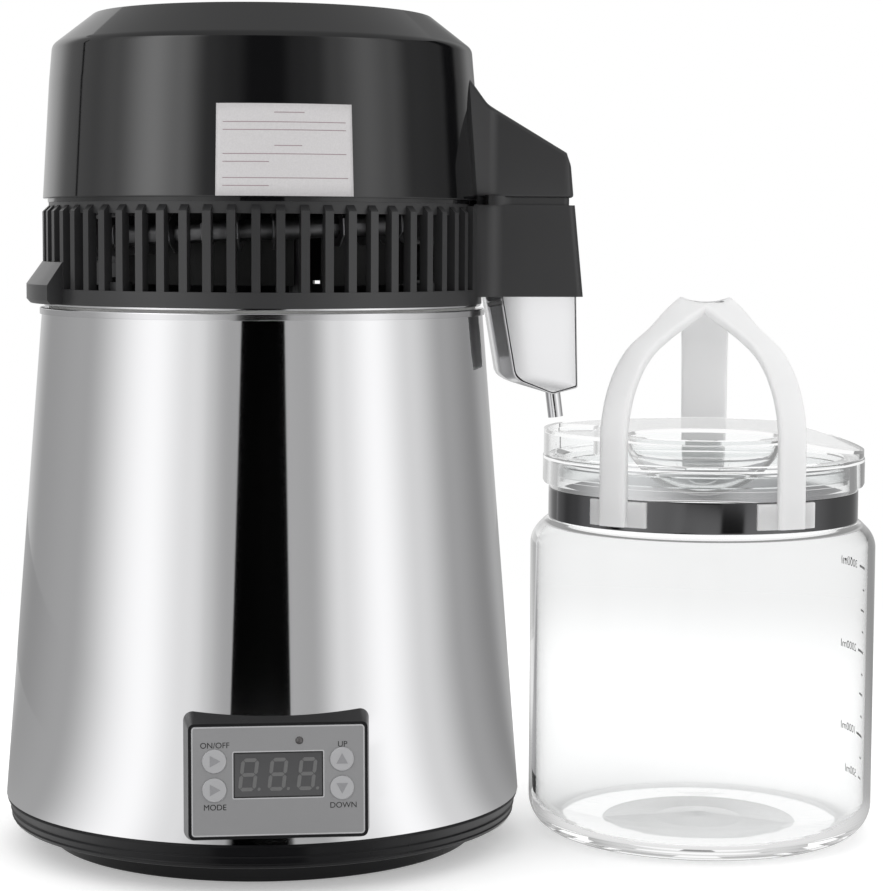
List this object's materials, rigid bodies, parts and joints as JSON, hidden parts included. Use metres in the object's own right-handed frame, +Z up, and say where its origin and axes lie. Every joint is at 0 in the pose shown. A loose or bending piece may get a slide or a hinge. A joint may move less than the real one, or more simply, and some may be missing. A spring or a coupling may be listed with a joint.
{
  "type": "countertop water distiller with jug",
  "caption": "Countertop water distiller with a steel body, slatted cooling head, spout arm and control panel, beside a glass jug with lid and handle.",
  "frame": {"origin": "middle of the whole set's footprint, on the surface it stands on", "axes": "+X from the distiller towards the jug, -Y the side with the control panel, +Z up"},
  "size_m": [0.3938, 0.2398, 0.3676],
  "materials": {
    "steel": "polished stainless, faint vertical sheen",
    "satin_steel": "satin",
    "gloss_black": "gloss",
    "satin_black": "satin",
    "panel_grey": "satin",
    "key_black": "satin",
    "dark_window": "gloss",
    "red_lens": "clear",
    "board_green": "satin",
    "fin_metal": "bright",
    "element": "dull",
    "silicone": "matt",
    "foot_rubber": "matt",
    "white_plastic": "satin, milky",
    "clear_plastic": "clear",
    "clear_glass": "clear",
    "charcoal": "woven sachet",
    "fan_grey": "satin"
  },
  "bodies": {
    "body": {"base_pan": "satin_black", "foot_pads": "foot_rubber", "base_screws": "satin_steel", "standoffs": "satin_steel", "outer_shell": "steel", "boiler_pot": "satin_steel", "heater_plate": "element", "thermostats": "satin_steel", "panel_bezel": "gloss_black", "faceplate": "panel_grey", "display_window": "dark_window", "display_module": "satin_black", "lamp_lens": "red_lens", "control_board": "board_green", "power_inlet": "satin_black", "fan_socket": "satin_black"},
    "head": {"lid_pan": "satin_steel", "head_seal": "silicone", "condenser_coil": "satin_steel", "coil_fins": "fin_metal", "steam_riser": "satin_steel", "condensate_pipe": "satin_steel", "grille_ring": "satin_black", "top_cap": "gloss_black", "dish_studs": "satin_steel", "lead_gland": "satin_black", "motor_bracket": "satin_steel", "bracket_screws": "satin_steel", "fan_motor": "satin_steel", "fan_shroud": "satin_black", "nozzle_cover": "steel", "outlet_tube": "satin_steel", "filter_cup": "white_plastic", "charcoal_sachet": "charcoal"},
    "fan": {"fan_rotor": "fan_grey"},
    "key_power": {"key_power": "key_black"},
    "key_mode": {"key_mode": "key_black"},
    "key_plus": {"key_plus": "key_black"},
    "key_minus": {"key_minus": "key_black"},
    "jug": {"glass_jar": "clear_glass", "neck_band": "satin_steel"},
    "lid": {"jug_lid": "clear_plastic", "lid_seal": "silicone"},
    "handle": {"jug_handle": "white_plastic"}
  },
  "joints": [
    {"name": "head_lift", "type": "slide", "parent": "body", "child": "head", "axis": [0, 0, 1], "range_m": [0, 0.08]},
    {"name": "fan_spin", "type": "hinge", "parent": "head", "child": "fan", "pos_m": [-0.0814, 0.0014, 0.315], "axis": [0, 0, 1], "continuous": true},
    {"name": "key_power_press", "type": "slide", "parent": "body", "child": "key_power", "axis": [0, 0.9968, -0.0803], "range_m": [0, 0.0008], "stiffness_N_per_m": 300, "springref_m": -0.002},
    {"name": "key_mode_press", "type": "slide", "parent": "body", "child": "key_mode", "axis": [0, 0.9968, -0.0803], "range_m": [0, 0.0008], "stiffness_N_per_m": 300, "springref_m": -0.002},
    {"name": "key_plus_press", "type": "slide", "parent": "body", "child": "key_plus", "axis": [0, 0.9968, -0.0803], "range_m": [0, 0.0008], "stiffness_N_per_m": 300, "springref_m": -0.002},
    {"name": "key_minus_press", "type": "slide", "parent": "body", "child": "key_minus", "axis": [0, 0.9968, -0.0803], "range_m": [0, 0.0008], "stiffness_N_per_m": 300, "springref_m": -0.002},
    {"name": "jug_slide", "type": "slide", "parent": "body", "child": "jug", "axis": [1, 0, 0], "range_m": [0, 0.15]},
    {"name": "lid_lift", "type": "slide", "parent": "jug", "child": "lid", "axis": [0, 0, 1], "range_m": [0, 0.06]},
    {"name": "handle_lift", "type": "slide", "parent": "lid", "child": "handle", "axis": [0, 0, 1], "range_m": [0, 0.06]}
  ],
  "couplings": [
    {"joint": "lid_lift", "follows": "jug_slide", "ratio": 0.4}
  ]
}
